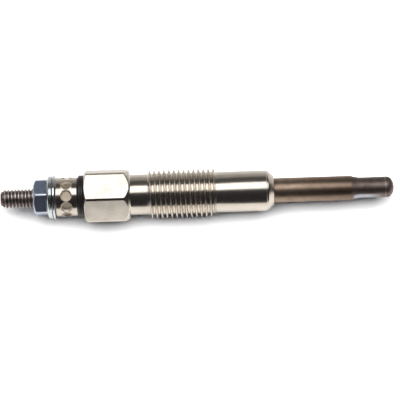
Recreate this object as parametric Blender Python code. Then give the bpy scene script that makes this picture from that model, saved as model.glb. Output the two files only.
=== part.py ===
"""Diesel glow plug, sheathed element, lying on one flat of its hexagon.

The axis of the plug runs along +X, from the end of the terminal stud to the
glowing tip. Stations are distances along that axis from the end of the stud.
Angles go round the axis from +Z towards -Y, which is the way a right-hand
thread advances. The origin is at the middle of the length, on the surface
that the plug lies on.
"""

import math

import bmesh
import bpy
from mathutils import Matrix, Vector

MM = 0.001

# Fits
SEAT_GAP = 0.10 * MM
FIT_CLEARANCE = 0.10 * MM
THREAD_CLEARANCE = 0.06 * MM

# Centre rod and its terminal stud, M4 x 0.7
STUD_DIAMETER = 3.95 * MM
STUD_ROOT_DIAMETER = 3.14 * MM
STUD_PITCH = 0.70 * MM
STUD_CREST_OFFSET = 0.11 * MM
STUD_END_DIAMETER = 2.60 * MM
STUD_CHAMFER_LENGTH = 1.00 * MM
STUD_REACH = 6.80 * MM
ROD_DIAMETER = 3.50 * MM
ROD_NOSE_DIAMETER = 2.40 * MM
ROD_NOSE_LEAD = 1.50 * MM
ROD_NOSE_DEPTH = 11.00 * MM
ROD_PIN_LENGTH = 2.50 * MM

# Terminal nut
NUT_ACROSS_FLATS = 6.90 * MM
NUT_CORNER_DIAMETER = 7.72 * MM
NUT_FACE_DIAMETER = 6.50 * MM
NUT_CHAMFER_LENGTH = 0.50 * MM
NUT_HEX_LENGTH = 2.58 * MM
NUT_CONE_LENGTH = 0.72 * MM
NUT_RIM_LENGTH = 0.55 * MM
NUT_CONE_ROOT_DIAMETER = 6.80 * MM
NUT_FLANGE_DIAMETER = 8.85 * MM
NUT_RIM_ROUND = 0.22 * MM
NUT_TURN = math.radians(14.9)

# Terminal washer
WASHER_DIAMETER = 8.90 * MM
WASHER_THICKNESS = 0.46 * MM
WASHER_EDGE_ROUND = 0.18 * MM

# Crimp ring
RING_DIAMETER = 7.90 * MM
RING_LENGTH = 4.48 * MM
RING_EDGE_CHAMFER = 0.22 * MM
DIMPLE_COUNT = 10
DIMPLE_RIM_DIAMETER = 2.28 * MM
DIMPLE_FLOOR_DIAMETER = 1.80 * MM
DIMPLE_DEPTH = 0.60 * MM
DIMPLE_TURN = math.radians(18.7)

# Insulating bush
BUSH_FLANGE_DIAMETER = 8.65 * MM
BUSH_FLANGE_THICKNESS = 1.14 * MM
BUSH_EDGE_ROUND = 0.22 * MM
BUSH_GROOVE_WIDTH = 0.16 * MM
BUSH_GROOVE_DEPTH = 0.12 * MM
BUSH_SPIGOT_LENGTH = 2.60 * MM

# Shell hexagon and neck
HEX_ACROSS_FLATS = 10.00 * MM
HEX_LENGTH = 9.20 * MM
HEX_CORNER_DIAMETER = 11.30 * MM
HEX_FACE_DIAMETER = 9.80 * MM
HEX_TERMINAL_CHAMFER = 0.48 * MM
HEX_THREAD_CHAMFER = 1.00 * MM
NECK_DIAMETER = 8.27 * MM
NECK_LENGTH = 3.70 * MM
NECK_FILLET = 0.35 * MM

# Shell mounting thread, M10 x 1.0
THREAD_DIAMETER = 9.85 * MM
THREAD_ROOT_DIAMETER = 8.63 * MM
THREAD_PITCH = 1.00 * MM
THREAD_LENGTH = 13.85 * MM
THREAD_CREST_OFFSET = 0.43 * MM
THREAD_CREST_FLAT = 0.16
THREAD_ROOT_FLAT = 0.18
THREAD_RUN_IN = 1.10 * MM

# Shell barrel, conical seat and inside
BARREL_DIAMETER = 8.33 * MM
BARREL_LENGTH = 10.37 * MM
SEAT_LENGTH = 1.41 * MM
SEAT_END_DIAMETER = 5.95 * MM
SEAT_EDGE_ROUND = 0.22 * MM
COUNTERBORE_DIAMETER = 6.50 * MM

# Sheath tube
SHEATH_DIAMETER = 5.00 * MM
SHEATH_WALL = 0.50 * MM
SHEATH_SEATED_LENGTH = 20.00 * MM
SHEATH_WIDE_LENGTH = 15.70 * MM
SHEATH_SWAGE_LENGTH = 2.30 * MM
SHEATH_NARROW_LENGTH = 5.05 * MM
SHEATH_WAIST_DIAMETER = 4.15 * MM
SHEATH_TIP_DIAMETER = 4.24 * MM
SHEATH_DOME_LENGTH = 1.44 * MM

# Heating element inside the sheath
SEAL_LENGTH = 2.50 * MM
SEAL_DEPTH = 0.40 * MM
COIL_MEAN_DIAMETER = 1.80 * MM
COIL_WIRE_DIAMETER = 0.30 * MM
CONTROL_COIL_LENGTH = 14.50 * MM
CONTROL_COIL_TURNS = 11
HEATING_COIL_TURNS = 10
CHAMBER_END_WALL = 0.80 * MM

# Facets and steps of rounds
SHELL_SIDES = 36
STUD_SIDES = 20
ROUND_SIDES = 28
SHEATH_SIDES = 24
FILL_SIDES = 20
DIMPLE_SIDES = 16
COIL_POINTS_PER_TURN = 9
ROUND_STEPS = 2
FILLET_STEPS = 3
SWAGE_STEPS = 4
DOME_STEPS = 5
O_RING_STEPS = 8
SHARP_ANGLE = math.radians(32)

# Guide bodies that shape the others
TOOL_OVERRUN = 1.00 * MM
THREAD_END_SNAP = 0.06

# Stations along the axis, from the end of the stud
NUT_START = STUD_REACH
NUT_LENGTH = NUT_HEX_LENGTH + NUT_CONE_LENGTH + NUT_RIM_LENGTH
WASHER_START = NUT_START + NUT_LENGTH + SEAT_GAP
RING_START = WASHER_START + WASHER_THICKNESS + SEAT_GAP
BUSH_START = RING_START + RING_LENGTH + SEAT_GAP
SHELL_START = BUSH_START + BUSH_FLANGE_THICKNESS + SEAT_GAP
HEX_END = SHELL_START + HEX_LENGTH
THREAD_START = HEX_END + NECK_LENGTH
THREAD_END = THREAD_START + THREAD_LENGTH
BARREL_END = THREAD_END + BARREL_LENGTH
SHELL_END = BARREL_END + SEAT_LENGTH
SHEATH_START = SHELL_END - SHEATH_SEATED_LENGTH
SWAGE_START = SHELL_END + SHEATH_WIDE_LENGTH
SWAGE_END = SWAGE_START + SHEATH_SWAGE_LENGTH
DOME_START = SWAGE_END + SHEATH_NARROW_LENGTH
TIP_END = DOME_START + SHEATH_DOME_LENGTH

# Sizes that follow from the fits
AXIS_HEIGHT = HEX_ACROSS_FLATS / 2
O_RING_SECTION = (COUNTERBORE_DIAMETER - ROD_DIAMETER) / 2 - 2 * FIT_CLEARANCE
SPIGOT_END = BUSH_START + BUSH_FLANGE_THICKNESS + BUSH_SPIGOT_LENGTH
O_RING_CENTRE = SPIGOT_END + SEAT_GAP + O_RING_SECTION / 2
COUNTERBORE_END = O_RING_CENTRE + O_RING_SECTION / 2 + SEAT_GAP
SHELL_BORE_DIAMETER = SHEATH_DIAMETER + 2 * FIT_CLEARANCE
SEAL_START = SHEATH_START + SEAL_DEPTH
FILL_START = SEAL_START + SEAL_LENGTH + SEAT_GAP
NOSE_START = SHEATH_START - ROD_NOSE_LEAD
NOSE_END = SHEATH_START + ROD_NOSE_DEPTH
PIN_END = NOSE_END + ROD_PIN_LENGTH
PIN_DIAMETER = COIL_MEAN_DIAMETER - COIL_WIRE_DIAMETER - 2 * FIT_CLEARANCE
CHAMBER_DIAMETER = COIL_MEAN_DIAMETER + COIL_WIRE_DIAMETER + 2 * FIT_CLEARANCE
CHAMBER_END = DOME_START - CHAMBER_END_WALL


def clear_scene():
    """Remove whatever the scene holds at the start."""
    for old in list(bpy.data.objects):
        bpy.data.objects.remove(old, do_unlink=True)


def make_material(name, colour, roughness, metallic):
    """Return a Principled material with the colour and finish of one piece."""
    material = bpy.data.materials.new(name)
    material.use_nodes = True
    shader = material.node_tree.nodes["Principled BSDF"]
    shader.inputs["Base Color"].default_value = (*colour, 1.0)
    shader.inputs["Roughness"].default_value = roughness
    shader.inputs["Metallic"].default_value = metallic
    return material


def make_axis():
    """Return the empty on the plug's axis, at the end of the stud."""
    axis = bpy.data.objects.new("plug_axis", None)
    axis.empty_display_size = STUD_DIAMETER
    axis.location = (-TIP_END / 2, 0.0, AXIS_HEIGHT)
    bpy.context.collection.objects.link(axis)
    return axis


def add_object(name, data, axis, station, material):
    """Place a mesh or curve on the axis, with its start at a station."""
    piece = bpy.data.objects.new(name, data)
    bpy.context.collection.objects.link(piece)
    piece.parent = axis
    piece.location = (station, 0.0, 0.0)
    if material is not None:
        data.materials.append(material)
    return piece


def add_guide(name, data, axis, station):
    """Place a body that only shapes another one."""
    guide = add_object(name, data, axis, station, None)
    guide.hide_render = True
    guide.display_type = "WIRE"
    return guide


def shape_with(piece, guide, operation):
    """Join, cut or trim a piece with a guide body."""
    modifier = piece.modifiers.new(guide.name, "BOOLEAN")
    modifier.operation = operation
    modifier.solver = "EXACT"
    modifier.object = guide


def point_round(station, radius, angle):
    """Return the point at a station, a radius and an angle round the axis."""
    return Vector((station, -radius * math.sin(angle), radius * math.cos(angle)))


def finish_mesh(bm, name):
    """Turn the faces outward and return the mesh, shaded smooth between sharp edges."""
    bmesh.ops.recalc_face_normals(bm, faces=bm.faces)
    mesh = bpy.data.meshes.new(name)
    bm.to_mesh(mesh)
    bm.free()
    mesh.shade_smooth()
    mesh.set_sharp_from_angle(angle=SHARP_ANGLE)
    return mesh


def make_ring(bm, station, radius, sides):
    """Return a ring of vertices round the axis, or one vertex repeated where it lies on the axis."""
    if radius == 0.0:
        return [bm.verts.new((station, 0.0, 0.0))] * sides
    return [bm.verts.new(point_round(station, radius, math.tau * side / sides)) for side in range(sides)]


def skin_rings(bm, rings):
    """Join rings one after another with faces."""
    for ring, following in zip(rings, rings[1:]):
        sides = len(ring)
        for side in range(sides):
            beside = (side + 1) % sides
            corners = (ring[side], ring[beside], following[beside], following[side])
            bm.faces.new(list(dict.fromkeys(corners)))


def turned_mesh(name, outline, sides):
    """Revolve an outline of (station, radius) points round the axis.

    An outline that starts and ends on the axis closes there. Any other
    outline is a loop, which makes a ring.
    """
    bm = bmesh.new()
    rings = [make_ring(bm, station, radius, sides) for station, radius in outline]
    if outline[0][1] > 0.0:
        rings.append(rings[0])
    skin_rings(bm, rings)
    return finish_mesh(bm, name)


def arc_points(centre, radii, start, end, steps):
    """Return (station, radius) points along an elliptic arc, angles from the axis direction."""
    points = []
    for step in range(steps + 1):
        angle = start + (end - start) * step / steps
        points.append((centre[0] + radii[0] * math.cos(angle), centre[1] + radii[1] * math.sin(angle)))
    return points


def round_rim(start, end, radius, edge):
    """Return the (station, radius) points of a rim with both edges rounded."""
    points = arc_points((start + edge, radius - edge), (edge, edge), math.pi, math.pi / 2, ROUND_STEPS)
    points += arc_points((end - edge, radius - edge), (edge, edge), math.pi / 2, 0.0, ROUND_STEPS)
    return points


def hex_prism_mesh(name, across_flats, start, end, turn):
    """Return a plain six-sided bar along the axis, with a corner at the turn angle."""
    bm = bmesh.new()
    corner_radius = across_flats / 2 / math.cos(math.pi / 6)
    corners = []
    for index in range(6):
        angle = turn + index * math.pi / 3
        corners.append(bm.verts.new(point_round(start, corner_radius, angle)))
    face = bm.faces.new(corners)
    grown = bmesh.ops.extrude_face_region(bm, geom=[face])
    moved = [item for item in grown["geom"] if isinstance(item, bmesh.types.BMVert)]
    bmesh.ops.translate(bm, verts=moved, vec=(end - start, 0.0, 0.0))
    return finish_mesh(bm, name)


class ThreadForm:
    """A right-hand thread as rows of points along its helix.

    Each row has a phase, the share of a pitch past the middle of the crest,
    and a radius. One pitch holds every row once.
    """

    def __init__(self, pitch, crest_station, rows):
        self.pitch = pitch
        self.crest_station = crest_station
        self.rows = rows

    def grown(self, clearance):
        """Return the form of the mating thread, with room all round."""
        rows = [(phase, radius + clearance) for phase, radius in self.rows]
        return ThreadForm(self.pitch, self.crest_station, rows)

    def point(self, row_number, side, sides):
        """Return the station and radius of a row's point on one side."""
        turns, row = divmod(row_number, len(self.rows))
        phase, radius = self.rows[row]
        return self.crest_station + self.pitch * (turns + phase + side / sides), radius


def skin_thread(bm, form, first, last, stations, ceiling):
    """Skin a thread between two rings, cut down to a ceiling near its ends."""
    sides = len(first)
    start, end = stations
    snap = form.pitch * THREAD_END_SNAP
    known = {}

    def vertex(row_number, side):
        if side == sides:
            row_number, side = row_number + len(form.rows), 0
        station, radius = form.point(row_number, side, sides)
        if station <= start + snap:
            return first[side]
        if station >= end - snap:
            return last[side]
        if (row_number, side) not in known:
            cut = min(radius, ceiling(station))
            known[row_number, side] = bm.verts.new(point_round(station, cut, math.tau * side / sides))
        return known[row_number, side]

    per_turn = len(form.rows)
    lowest = math.floor((start - form.crest_station) / form.pitch - 2) * per_turn
    highest = math.ceil((end - form.crest_station) / form.pitch + 2) * per_turn
    for row_number in range(lowest, highest):
        for side in range(sides):
            corners = [
                vertex(row_number, side),
                vertex(row_number, side + 1),
                vertex(row_number + 1, side + 1),
                vertex(row_number + 1, side),
            ]
            distinct = list(dict.fromkeys(corners))
            if len(distinct) > 2:
                bm.faces.new(distinct)


def stud_thread_form():
    """Return the fine terminal thread, a plain vee."""
    return ThreadForm(
        STUD_PITCH,
        STUD_CREST_OFFSET,
        [(0.0, STUD_DIAMETER / 2), (0.5, STUD_ROOT_DIAMETER / 2)],
    )


def shell_thread_form():
    """Return the mounting thread, with flat crests and roots."""
    crest_edge = THREAD_CREST_FLAT / 2
    root_edge = 0.5 - THREAD_ROOT_FLAT / 2
    crest = THREAD_DIAMETER / 2
    root = THREAD_ROOT_DIAMETER / 2
    return ThreadForm(
        THREAD_PITCH,
        THREAD_START - SHELL_START + THREAD_CREST_OFFSET,
        [(crest_edge, crest), (root_edge, root), (1.0 - root_edge, root), (1.0 - crest_edge, crest)],
    )


def ramp(station, start, end, low, high):
    """Return a radius that grows in a straight line between two stations."""
    share = (station - start) / (end - start)
    return low + (high - low) * share


def build_centre_rod(axis, material):
    """One steel rod: threaded stud, plain shank, nose in the sheath and coil pin."""
    thread_end = WASHER_START + WASHER_THICKNESS
    shank = ROD_DIAMETER / 2
    end_radius = STUD_END_DIAMETER / 2
    crest = STUD_DIAMETER / 2

    def ceiling(station):
        lead = ramp(station, 0.0, STUD_CHAMFER_LENGTH, end_radius, crest)
        tail = ramp(station, thread_end, thread_end - STUD_PITCH, shank, crest)
        return min(lead, tail)

    bm = bmesh.new()
    first = make_ring(bm, 0.0, end_radius, STUD_SIDES)
    last = make_ring(bm, thread_end, shank, STUD_SIDES)
    skin_thread(bm, stud_thread_form(), first, last, (0.0, thread_end), ceiling)
    nose = ROD_NOSE_DIAMETER / 2
    pin = PIN_DIAMETER / 2
    step = (ROD_DIAMETER - ROD_NOSE_DIAMETER) / 2
    rings = [
        last,
        make_ring(bm, NOSE_START - step, shank, STUD_SIDES),
        make_ring(bm, NOSE_START, nose, STUD_SIDES),
        make_ring(bm, NOSE_END, nose, STUD_SIDES),
        make_ring(bm, NOSE_END, pin, STUD_SIDES),
        make_ring(bm, PIN_END, pin, STUD_SIDES),
    ]
    skin_rings(bm, rings)
    bm.faces.new(first)
    bm.faces.new(rings[-1])
    return add_object("centre_rod", finish_mesh(bm, "centre_rod"), axis, 0.0, material)


def build_terminal_nut(axis, material):
    """Flanged hexagon nut, tapped with the stud's own thread and room to turn."""
    hex_end = NUT_HEX_LENGTH + NUT_CONE_LENGTH / 2
    corner = NUT_CORNER_DIAMETER / 2
    cone_root = NUT_CONE_ROOT_DIAMETER / 2
    rim = NUT_FLANGE_DIAMETER / 2
    blank = hex_prism_mesh("nut_blank", NUT_ACROSS_FLATS, -TOOL_OVERRUN, hex_end + TOOL_OVERRUN, NUT_TURN)
    nut = add_object("terminal_nut", blank, axis, NUT_START, material)
    trim = [
        (0.0, 0.0),
        (0.0, NUT_FACE_DIAMETER / 2),
        (NUT_CHAMFER_LENGTH, corner),
        (hex_end, corner),
        (hex_end, 0.0),
    ]
    trim_body = add_guide("nut_trim", turned_mesh("nut_trim", trim, ROUND_SIDES), axis, NUT_START)
    cone_start = NUT_HEX_LENGTH
    rim_start = NUT_HEX_LENGTH + NUT_CONE_LENGTH
    flange = [
        (cone_start - NUT_CONE_LENGTH, 0.0),
        (cone_start - NUT_CONE_LENGTH, cone_root),
        (cone_start, cone_root),
    ]
    flange += round_rim(rim_start, NUT_LENGTH, rim, NUT_RIM_ROUND)
    flange.append((NUT_LENGTH, 0.0))
    flange_body = add_guide("nut_flange", turned_mesh("nut_flange", flange, ROUND_SIDES), axis, NUT_START)
    shape_with(nut, trim_body, "INTERSECT")
    shape_with(nut, flange_body, "UNION")
    shape_with(nut, build_nut_tap(axis), "DIFFERENCE")
    return nut


def build_nut_tap(axis):
    """Return the guide that taps the nut, on the same helix as the stud."""
    form = stud_thread_form().grown(THREAD_CLEARANCE)
    start = NUT_START - TOOL_OVERRUN
    end = NUT_START + NUT_LENGTH + TOOL_OVERRUN
    root = STUD_ROOT_DIAMETER / 2 + THREAD_CLEARANCE
    bm = bmesh.new()
    first = make_ring(bm, start, root, STUD_SIDES)
    last = make_ring(bm, end, root, STUD_SIDES)
    crest = STUD_DIAMETER / 2 + THREAD_CLEARANCE
    skin_thread(bm, form, first, last, (start, end), lambda station: crest)
    bm.faces.new(first)
    bm.faces.new(last)
    return add_guide("nut_tap", finish_mesh(bm, "nut_tap"), axis, 0.0)


def build_terminal_washer(axis, material):
    """Plain washer between the nut and the crimp ring."""
    outer = WASHER_DIAMETER / 2
    inner = STUD_DIAMETER / 2 + FIT_CLEARANCE
    outline = [(0.0, inner)]
    outline += round_rim(0.0, WASHER_THICKNESS, outer, WASHER_EDGE_ROUND)
    outline.append((WASHER_THICKNESS, inner))
    mesh = turned_mesh("terminal_washer", outline, ROUND_SIDES)
    return add_object("terminal_washer", mesh, axis, WASHER_START, material)


def build_crimp_ring(axis, material):
    """Soft metal ring, punched down on the rod by a row of round dimples."""
    outer = RING_DIAMETER / 2
    inner = ROD_DIAMETER / 2 + FIT_CLEARANCE
    edge = RING_EDGE_CHAMFER
    outline = [
        (0.0, inner),
        (0.0, outer - edge),
        (edge, outer),
        (RING_LENGTH - edge, outer),
        (RING_LENGTH, outer - edge),
        (RING_LENGTH, inner),
    ]
    mesh = turned_mesh("crimp_ring", outline, DIMPLE_COUNT * 4)
    ring = add_object("crimp_ring", mesh, axis, RING_START, material)
    shape_with(ring, build_dimple_punches(axis), "DIFFERENCE")
    return ring


def build_dimple_punches(axis):
    """Return the guide with one tapered punch for each dimple."""
    floor = RING_DIAMETER / 2 - DIMPLE_DEPTH
    flare = (DIMPLE_RIM_DIAMETER - DIMPLE_FLOOR_DIAMETER) / DIMPLE_DEPTH
    depth = DIMPLE_DEPTH + TOOL_OVERRUN / 2
    bm = bmesh.new()
    for index in range(DIMPLE_COUNT):
        angle = DIMPLE_TURN + math.tau * index / DIMPLE_COUNT
        outward = Matrix.Rotation(angle, 4, "X")
        lift = Matrix.Translation((RING_LENGTH / 2, 0.0, floor + depth / 2))
        bmesh.ops.create_cone(
            bm,
            cap_ends=True,
            segments=DIMPLE_SIDES,
            radius1=DIMPLE_FLOOR_DIAMETER / 2,
            radius2=(DIMPLE_FLOOR_DIAMETER + flare * depth) / 2,
            depth=depth,
            matrix=outward @ lift,
        )
    return add_guide("dimple_punches", finish_mesh(bm, "dimple_punches"), axis, RING_START)


def build_insulating_bush(axis, material):
    """Black insulator: grooved flange outside, spigot inside the counterbore."""
    outer = BUSH_FLANGE_DIAMETER / 2
    spigot = COUNTERBORE_DIAMETER / 2 - FIT_CLEARANCE
    inner = ROD_DIAMETER / 2 + FIT_CLEARANCE
    middle = BUSH_FLANGE_THICKNESS / 2
    half_groove = BUSH_GROOVE_WIDTH / 2
    length = BUSH_FLANGE_THICKNESS + BUSH_SPIGOT_LENGTH
    edge = (BUSH_EDGE_ROUND, BUSH_EDGE_ROUND)
    near_centre = (BUSH_EDGE_ROUND, outer - BUSH_EDGE_ROUND)
    near_edge = arc_points(near_centre, edge, math.pi, math.pi / 2, ROUND_STEPS)
    far_centre = (BUSH_FLANGE_THICKNESS - BUSH_EDGE_ROUND, outer - BUSH_EDGE_ROUND)
    far_edge = arc_points(far_centre, edge, math.pi / 2, 0.0, ROUND_STEPS)
    outline = [(0.0, inner)] + near_edge
    outline += [
        (middle - half_groove, outer),
        (middle, outer - BUSH_GROOVE_DEPTH),
        (middle + half_groove, outer),
    ]
    outline += far_edge
    outline += [
        (BUSH_FLANGE_THICKNESS, spigot),
        (length, spigot),
        (length, inner),
    ]
    mesh = turned_mesh("insulating_bush", outline, ROUND_SIDES)
    return add_object("insulating_bush", mesh, axis, BUSH_START, material)


def build_o_ring(axis, material):
    """Rubber ring between the rod and the counterbore, behind the bush."""
    section = O_RING_SECTION / 2
    mean = ROD_DIAMETER / 2 + FIT_CLEARANCE + section
    outline = arc_points((0.0, mean), (section, section), 0.0, math.tau, O_RING_STEPS)[:-1]
    mesh = turned_mesh("shell_o_ring", outline, ROUND_SIDES)
    return add_object("shell_o_ring", mesh, axis, O_RING_CENTRE, material)


def build_shell(axis, material):
    """One steel shell: hexagon, neck, mounting thread, barrel and conical seat, bored through."""
    neck = NECK_DIAMETER / 2
    root = THREAD_ROOT_DIAMETER / 2
    crest = THREAD_DIAMETER / 2
    barrel = BARREL_DIAMETER / 2
    hex_end = HEX_END - SHELL_START
    start = THREAD_START - SHELL_START
    end = THREAD_END - SHELL_START

    def ceiling(station):
        lead = ramp(station, start, start + THREAD_RUN_IN, neck, crest)
        tail = ramp(station, end, end - THREAD_RUN_IN, barrel, crest)
        return min(lead, tail)

    bm = bmesh.new()
    first = make_ring(bm, start, neck, SHELL_SIDES)
    last = make_ring(bm, end, barrel, SHELL_SIDES)
    skin_thread(bm, shell_thread_form(), first, last, (start, end), ceiling)
    fillet_centre = (hex_end + NECK_FILLET + SEAT_GAP / 2, neck + NECK_FILLET)
    fillet = arc_points(fillet_centre, (NECK_FILLET, NECK_FILLET), math.pi, 1.5 * math.pi, FILLET_STEPS)
    core_start = hex_end - HEX_LENGTH / 4
    neck_outline = [(core_start, neck + NECK_FILLET)] + fillet
    neck_rings = [make_ring(bm, station, radius, SHELL_SIDES) for station, radius in neck_outline]
    skin_rings(bm, neck_rings + [first])
    barrel_rings = [last]
    for station, radius in seat_outline():
        barrel_rings.append(make_ring(bm, station, radius, SHELL_SIDES))
    skin_rings(bm, barrel_rings)
    bm.faces.new(neck_rings[0])
    bm.faces.new(barrel_rings[-1])
    shell = add_object("shell", finish_mesh(bm, "shell"), axis, SHELL_START, material)
    shape_with(shell, build_hexagon(axis), "UNION")
    shape_with(shell, build_shell_bore(axis), "DIFFERENCE")
    return shell


def seat_outline():
    """Return the barrel's end: a small round, then the cone that seals in the head."""
    barrel = BARREL_DIAMETER / 2
    seat_end = SEAT_END_DIAMETER / 2
    start = BARREL_END - SHELL_START
    end = SHELL_END - SHELL_START
    slope = (barrel - seat_end) / SEAT_LENGTH
    return [
        (start - SEAT_EDGE_ROUND, barrel),
        (start + SEAT_EDGE_ROUND / 2, barrel - slope * SEAT_EDGE_ROUND),
        (end - SEAT_EDGE_ROUND, seat_end + slope * SEAT_EDGE_ROUND),
        (end, seat_end - SEAT_EDGE_ROUND),
    ]


def build_hexagon(axis):
    """Return the guide of the hexagon, with its corners eased and a cone at each end."""
    blank = hex_prism_mesh(
        "hexagon_blank", HEX_ACROSS_FLATS, -TOOL_OVERRUN, HEX_LENGTH + TOOL_OVERRUN, math.pi / 6
    )
    hexagon = add_guide("hexagon_blank", blank, axis, SHELL_START)
    face = HEX_FACE_DIAMETER / 2
    corner = HEX_CORNER_DIAMETER / 2
    trim = [
        (0.0, 0.0),
        (0.0, face),
        (HEX_TERMINAL_CHAMFER, corner),
        (HEX_LENGTH - HEX_THREAD_CHAMFER, corner),
        (HEX_LENGTH, face),
        (HEX_LENGTH, 0.0),
    ]
    trim_body = add_guide("hexagon_trim", turned_mesh("hexagon_trim", trim, SHELL_SIDES), axis, SHELL_START)
    shape_with(hexagon, trim_body, "INTERSECT")
    return hexagon


def build_shell_bore(axis):
    """Return the guide that bores the shell: counterbore for the bush, bore for the sheath."""
    counterbore = COUNTERBORE_DIAMETER / 2
    bore = SHELL_BORE_DIAMETER / 2
    step = COUNTERBORE_END - SHELL_START
    end = SHELL_END - SHELL_START + TOOL_OVERRUN
    outline = [
        (-TOOL_OVERRUN, 0.0),
        (-TOOL_OVERRUN, counterbore),
        (step, counterbore),
        (step, bore),
        (end, bore),
        (end, 0.0),
    ]
    return add_guide("shell_bore", turned_mesh("shell_bore", outline, SHELL_SIDES), axis, SHELL_START)


def sheath_outline(inset):
    """Return the sheath's outer outline from its open end to the tip, moved inward by an inset."""
    wide = SHEATH_DIAMETER / 2 - inset
    waist = SHEATH_WAIST_DIAMETER / 2 - inset
    tip = SHEATH_TIP_DIAMETER / 2 - inset
    outline = [(0.0, wide)]
    for step in range(SWAGE_STEPS + 1):
        share = step / SWAGE_STEPS
        station = SWAGE_START + SHEATH_SWAGE_LENGTH * share - SHEATH_START
        outline.append((station, waist + (wide - waist) * (1.0 - share) ** 2))
    dome_centre = (DOME_START - SHEATH_START, 0.0)
    dome_radii = (SHEATH_DOME_LENGTH - inset, tip)
    outline += arc_points(dome_centre, dome_radii, math.pi / 2, 0.0, DOME_STEPS)[:-1]
    outline.append((dome_centre[0] + dome_radii[0], 0.0))
    return outline


def build_sheath_tube(axis, material):
    """Heat-proof tube, swaged to a waist near its closed round tip."""
    outline = sheath_outline(SHEATH_WALL)[::-1] + sheath_outline(0.0)
    mesh = turned_mesh("sheath_tube", outline, SHEATH_SIDES)
    return add_object("sheath_tube", mesh, axis, SHEATH_START, material)


def build_magnesia_fill(axis, material):
    """Pressed magnesia round the rod's nose and the coils, with a core inside them."""
    inset = SHEATH_WALL + FIT_CLEARANCE
    shift = FILL_START - SHEATH_START
    outer = [(station - shift, radius) for station, radius in sheath_outline(inset)[1:]]
    nose = ROD_NOSE_DIAMETER / 2 + FIT_CLEARANCE
    chamber = CHAMBER_DIAMETER / 2
    core = COIL_MEAN_DIAMETER / 2 - COIL_WIRE_DIAMETER / 2 - FIT_CLEARANCE
    nose_end = NOSE_END - FILL_START + SEAT_GAP
    core_start = PIN_END + SEAT_GAP - FILL_START
    chamber_end = CHAMBER_END - FILL_START
    inner = [
        (core_start, 0.0),
        (core_start, core),
        (chamber_end, core),
        (chamber_end, chamber),
        (nose_end, chamber),
        (nose_end, nose),
        (0.0, nose),
        (0.0, SHEATH_DIAMETER / 2 - inset),
    ]
    mesh = turned_mesh("magnesia_fill", inner + outer, FILL_SIDES)
    return add_object("magnesia_fill", mesh, axis, FILL_START, material)


def build_sheath_seal(axis, material):
    """Rubber bush that closes the sheath's open end round the rod."""
    outer = SHEATH_DIAMETER / 2 - SHEATH_WALL - FIT_CLEARANCE
    inner = ROD_NOSE_DIAMETER / 2 + FIT_CLEARANCE
    outline = [(0.0, inner), (0.0, outer), (SEAL_LENGTH, outer), (SEAL_LENGTH, inner)]
    mesh = turned_mesh("sheath_seal", outline, FILL_SIDES)
    return add_object("sheath_seal", mesh, axis, SEAL_START, material)


def build_coil(name, axis, material, stations, turns):
    """Wind a wire coil between two stations."""
    start, end = stations
    count = turns * COIL_POINTS_PER_TURN
    curve = bpy.data.curves.new(name, "CURVE")
    curve.dimensions = "3D"
    curve.bevel_depth = COIL_WIRE_DIAMETER / 2
    curve.bevel_resolution = 1
    curve.use_fill_caps = True
    wire = curve.splines.new("POLY")
    wire.points.add(count)
    for index, point in enumerate(wire.points):
        angle = math.tau * index / COIL_POINTS_PER_TURN
        place = point_round((end - start) * index / count, COIL_MEAN_DIAMETER / 2, angle)
        point.co = (*place, 1.0)
    return add_object(name, curve, axis, start, material)


def build_coils(axis, control_material, heating_material):
    """Control coil round the rod's pin, then the heating coil up to the tip."""
    half_wire = COIL_WIRE_DIAMETER / 2
    control_start = NOSE_END + SEAT_GAP + half_wire
    control_end = control_start + CONTROL_COIL_LENGTH
    heating_start = control_end + COIL_WIRE_DIAMETER + SEAT_GAP
    heating_end = CHAMBER_END - SEAT_GAP - half_wire
    build_coil("control_coil", axis, control_material, (control_start, control_end), CONTROL_COIL_TURNS)
    build_coil("heating_coil", axis, heating_material, (heating_start, heating_end), HEATING_COIL_TURNS)


def build_glow_plug():
    """Build every piece of the plug on its axis."""
    clear_scene()
    axis = make_axis()
    rod_steel = make_material("rod_steel", (0.17, 0.15, 0.14), 0.38, 1.0)
    zinc = make_material("bright_zinc", (0.50, 0.55, 0.62), 0.22, 1.0)
    nickel = make_material("bright_nickel", (0.72, 0.68, 0.62), 0.20, 1.0)
    ring_metal = make_material("crimped_nickel", (0.74, 0.71, 0.66), 0.18, 1.0)
    insulator = make_material("black_insulator", (0.020, 0.018, 0.019), 0.45, 0.0)
    rubber = make_material("black_rubber", (0.015, 0.015, 0.015), 0.70, 0.0)
    seal_rubber = make_material("red_silicone", (0.30, 0.05, 0.03), 0.60, 0.0)
    sheath_alloy = make_material("heat_tinted_alloy", (0.30, 0.24, 0.19), 0.34, 1.0)
    magnesia = make_material("pressed_magnesia", (0.78, 0.76, 0.70), 0.90, 0.0)
    control_wire = make_material("control_wire", (0.45, 0.44, 0.43), 0.35, 1.0)
    heating_wire = make_material("heating_wire", (0.38, 0.32, 0.27), 0.40, 1.0)
    build_shell(axis, nickel)
    build_sheath_tube(axis, sheath_alloy)
    build_magnesia_fill(axis, magnesia)
    build_coils(axis, control_wire, heating_wire)
    build_sheath_seal(axis, seal_rubber)
    build_centre_rod(axis, rod_steel)
    build_o_ring(axis, rubber)
    build_insulating_bush(axis, insulator)
    build_crimp_ring(axis, ring_metal)
    build_terminal_washer(axis, zinc)
    build_terminal_nut(axis, zinc)


build_glow_plug()
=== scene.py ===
# %% [markdown]
# Diesel glow plug
#
# A glow plug warms a diesel engine's combustion chamber before it starts. This
# one lies on a white table: a threaded terminal stud with a flanged nut on the
# left, a dimpled crimp ring and a black insulator, a nickel-plated steel shell
# with a hexagon, a thread, a barrel and a conical seat, and a slim heater tube
# whose tip is swaged thinner. The CAD model fixes every size and place. This
# lesson gives each piece its true surface, its finish and its light.

# %% Load the frame
import math

import bmesh
import bpy
import numpy as np
from mathutils import Matrix, Vector


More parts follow.
